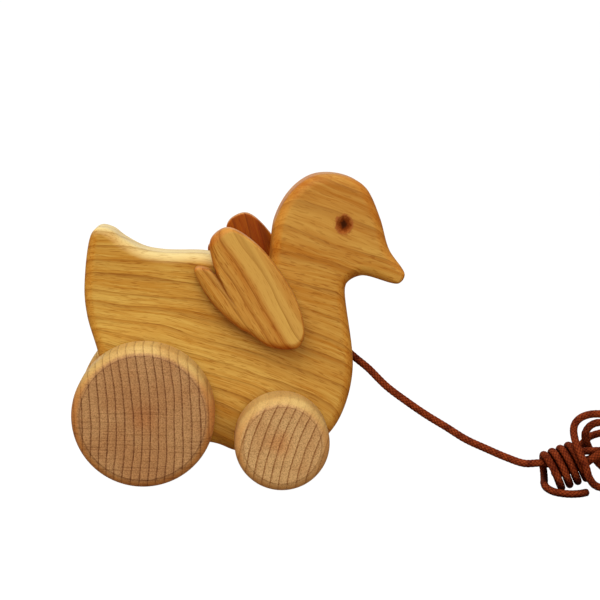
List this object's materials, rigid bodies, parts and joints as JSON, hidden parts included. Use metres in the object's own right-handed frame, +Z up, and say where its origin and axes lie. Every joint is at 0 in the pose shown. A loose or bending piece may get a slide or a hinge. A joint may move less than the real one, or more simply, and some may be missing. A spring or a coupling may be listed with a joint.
{
  "type": "chick pull toy",
  "caption": "Wooden pull toy: a bird cut from a thick board with turning wings, glued wheel pairs on dowel axles and a pull cord gathered in a bound hank.",
  "frame": {"origin": "on the floor under the centre of the toy's box, cord left out", "axes": "+X forward along the beak, +Y to the bird's left, +Z up"},
  "size_m": [0.2413, 0.059, 0.111],
  "materials": {
    "chick_body": "oiled hardwood board",
    "right_wing": "oiled hardwood board",
    "left_wing": "oiled hardwood board",
    "right_wing_pivot": "beech dowel",
    "left_wing_pivot": "beech dowel",
    "rear_axle": "beech dowel",
    "front_axle": "beech dowel",
    "rear_wheel_right": "oiled turned beech",
    "rear_wheel_left": "oiled turned beech",
    "front_wheel_right": "oiled turned beech",
    "front_wheel_left": "oiled turned beech",
    "pull_cord_lead": "waxed braided cord",
    "pull_cord_hank": "waxed braided cord"
  },
  "bodies": {
    "body": {"chick_body": "chick_body", "pull_cord_lead": "pull_cord_lead", "pull_cord_hank": "pull_cord_hank"},
    "right_wing": {"right_wing": "right_wing", "right_wing_pivot": "right_wing_pivot"},
    "left_wing": {"left_wing": "left_wing", "left_wing_pivot": "left_wing_pivot"},
    "rear_wheels": {"rear_axle": "rear_axle", "rear_wheel_right": "rear_wheel_right", "rear_wheel_left": "rear_wheel_left"},
    "front_wheels": {"front_axle": "front_axle", "front_wheel_right": "front_wheel_right", "front_wheel_left": "front_wheel_left"}
  },
  "joints": [
    {"name": "rear_wheels_roll", "type": "hinge", "parent": "body", "child": "rear_wheels", "pos_m": [-0.0331, 0, 0.025], "axis": [0, 1, 0], "continuous": true},
    {"name": "front_wheels_roll", "type": "hinge", "parent": "body", "child": "front_wheels", "pos_m": [0.01575, 0, 0.01675], "axis": [0, 1, 0], "continuous": true},
    {"name": "right_wing_turn", "type": "hinge", "parent": "body", "child": "right_wing", "pos_m": [0.0157, -0.0105, 0.0565], "axis": [0, 1, 0], "range_deg": [-43, 168]},
    {"name": "left_wing_turn", "type": "hinge", "parent": "body", "child": "left_wing", "pos_m": [0.0157, 0.0105, 0.0565], "axis": [0, 1, 0], "range_deg": [-54, 157]}
  ]
}
